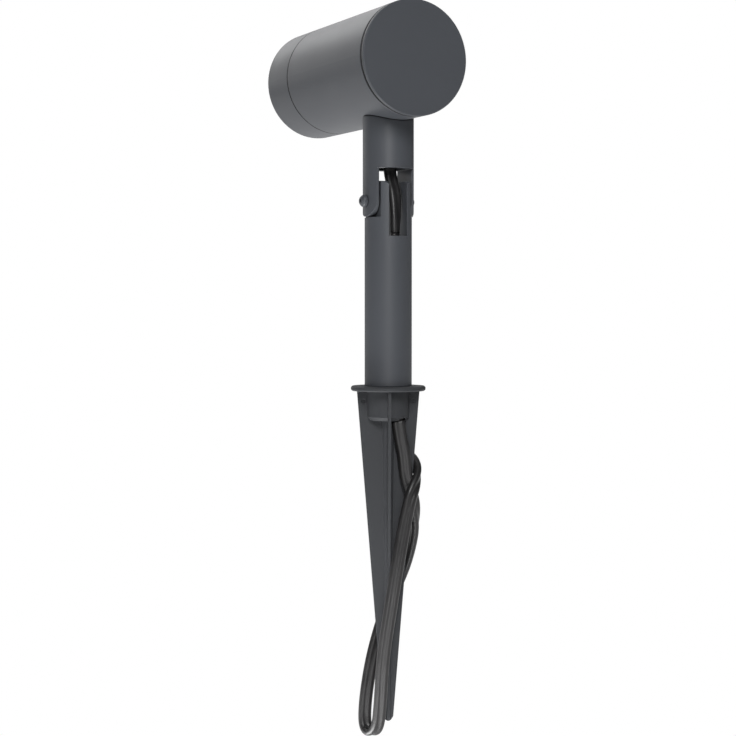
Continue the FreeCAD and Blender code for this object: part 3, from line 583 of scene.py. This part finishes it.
def paleSurface(name, tone):
    finish, tree, shader = newFinish(name)
    shader.inputs["Base Color"].default_value = (tone, tone, tone, 1)
    shader.inputs["Roughness"].default_value = 0.9
    rays = addNode(tree, "ShaderNodeLightPath")
    seen = addNode(tree, "ShaderNodeMath", operation="MAXIMUM")
    through = addNode(tree, "ShaderNodeMath", operation="MAXIMUM")
    white = addNode(tree, "ShaderNodeEmission", {"Color": (1, 1, 1, 1), "Strength": 1.0})
    mixed = addNode(tree, "ShaderNodeMixShader")
    side = addNode(tree, "ShaderNodeNewGeometry")
    clear = addNode(tree, "ShaderNodeBsdfTransparent")
    oneSided = addNode(tree, "ShaderNodeMixShader")    # a view from below the floor sees the object
    output = tree.nodes["Material Output"]
    wire(tree,
         (rays.outputs["Is Camera Ray"], seen.inputs[0]),
         (rays.outputs["Is Glossy Ray"], seen.inputs[1]),
         (seen.outputs[0], through.inputs[0]),
         (rays.outputs["Is Transmission Ray"], through.inputs[1]),
         (through.outputs[0], mixed.inputs[0]),
         (shader.outputs[0], mixed.inputs[1]),
         (white.outputs[0], mixed.inputs[2]),
         (side.outputs["Backfacing"], oneSided.inputs[0]),
         (mixed.outputs[0], oneSided.inputs[1]),
         (clear.outputs[0], oneSided.inputs[2]),
         (oneSided.outputs[0], output.inputs["Surface"]))
    return finish


def makeStage(settings):
    bpy.ops.object.select_all(action="DESELECT")
    bpy.ops.mesh.primitive_plane_add(size=settings["floorSize"],
                                     location=(0, 0, settings["floorHeight"]))
    floor = bpy.context.object
    floor.name = "floor"
    floor.data.materials.append(paleSurface("paleFloor", settings["floorTone"]))
    world = bpy.data.worlds.new("softRoom")
    bpy.context.scene.world = world
    world.use_nodes = True
    tree = world.node_tree
    sky = tree.nodes["Background"]
    rays = addNode(tree, "ShaderNodeLightPath")
    seen = addNode(tree, "ShaderNodeMath", operation="MAXIMUM")
    strength = addNode(tree, "ShaderNodeMapRange", {"To Min": settings["skyStrength"], "To Max": 1.0})
    sky.inputs["Color"].default_value = (1, 1, 1, 1)
    wire(tree,
         (rays.outputs["Is Camera Ray"], seen.inputs[0]),
         (rays.outputs["Is Transmission Ray"], seen.inputs[1]),
         (seen.outputs[0], strength.inputs["Value"]),
         (strength.outputs["Result"], sky.inputs["Strength"]))


# place and target in m, size in m, power in W
lamps = {
    "overheadLamp": {
        "place": (-0.35, -0.75, 1.05), "target": (0, 0, 0.15), "size": (1.7, 1.1), "power": 12.0},
    "leftLamp": {
        "place": (0.36, -1.22, 0.6), "target": (0, 0, 0.15), "size": (0.8, 0.8), "power": 3.1},
    "cameraLamp": {
        "place": (0.45, 1.01, 0.66), "target": (0, 0, 0.02), "size": (0.2, 0.5), "power": 10.4},
    "bounceLamp": {
        "place": (0.1, 0.0, -0.29), "target": (0.02, 0.0, 0), "size": (0.17, 0.17), "power": 1.3},
    "lowLamp": {
        "place": (0.28, 0.53, -0.29), "target": (0, 0, -0.15), "size": (0.3, 0.3), "power": 0.95},
    "tipLamp": {
        "place": (0.08, 0.15, -0.27), "target": (0, 0, -0.18), "size": (0.1, 0.1), "power": 0.14},
}


def areaLamp(name, settings):
    place = Vector(settings["place"])
    bpy.ops.object.light_add(type="AREA", location=place)
    lamp = bpy.context.object
    lamp.name = name
    lamp.data.shape = "RECTANGLE"
    lamp.data.size, lamp.data.size_y = settings["size"]
    lamp.data.energy = settings["power"]
    lamp.visible_camera = False
    lamp.rotation_mode = "QUATERNION"
    lamp.rotation_quaternion = (Vector(settings["target"]) - place).to_track_quat("-Z", "Y")


makeStage(stageSettings)
for name, settings in lamps.items():
    areaLamp(name, settings)
bpy.context.scene.view_settings.view_transform = "Standard"
print("stage and light made")
